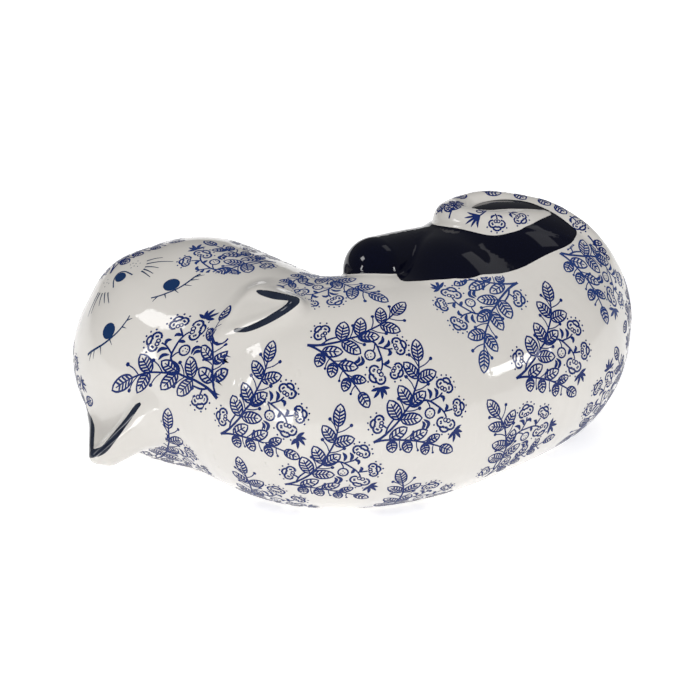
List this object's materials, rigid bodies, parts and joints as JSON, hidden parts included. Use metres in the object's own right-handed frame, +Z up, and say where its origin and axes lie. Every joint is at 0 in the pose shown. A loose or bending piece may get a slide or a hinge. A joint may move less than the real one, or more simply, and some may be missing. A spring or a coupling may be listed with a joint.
{
  "type": "figurine",
  "caption": "Hollow glazed ceramic cat lying curled up with its face turned upward, printed all over with leafy flower sprigs, with dark glossy hind legs and a coiled tail.",
  "frame": {"origin": "centre of the bounding box, on the flat foot (z = 0)", "axes": "+X from head to rump, +Y to the belly side, +Z up"},
  "size_m": [0.2824, 0.1836, 0.1262],
  "materials": {
    "printed_glaze": "gloss",
    "navy_glaze": "gloss"
  },
  "bodies": {
    "root": {"body_shell": "printed_glaze", "head_shell": "printed_glaze", "left_ear": "printed_glaze", "right_ear": "printed_glaze", "tail": "printed_glaze", "right_hind_leg": "navy_glaze", "right_hind_paw": "navy_glaze", "left_hind_paw": "navy_glaze", "right_fore_paw": "navy_glaze", "left_fore_paw": "navy_glaze"}
  },
  "joints": []
}
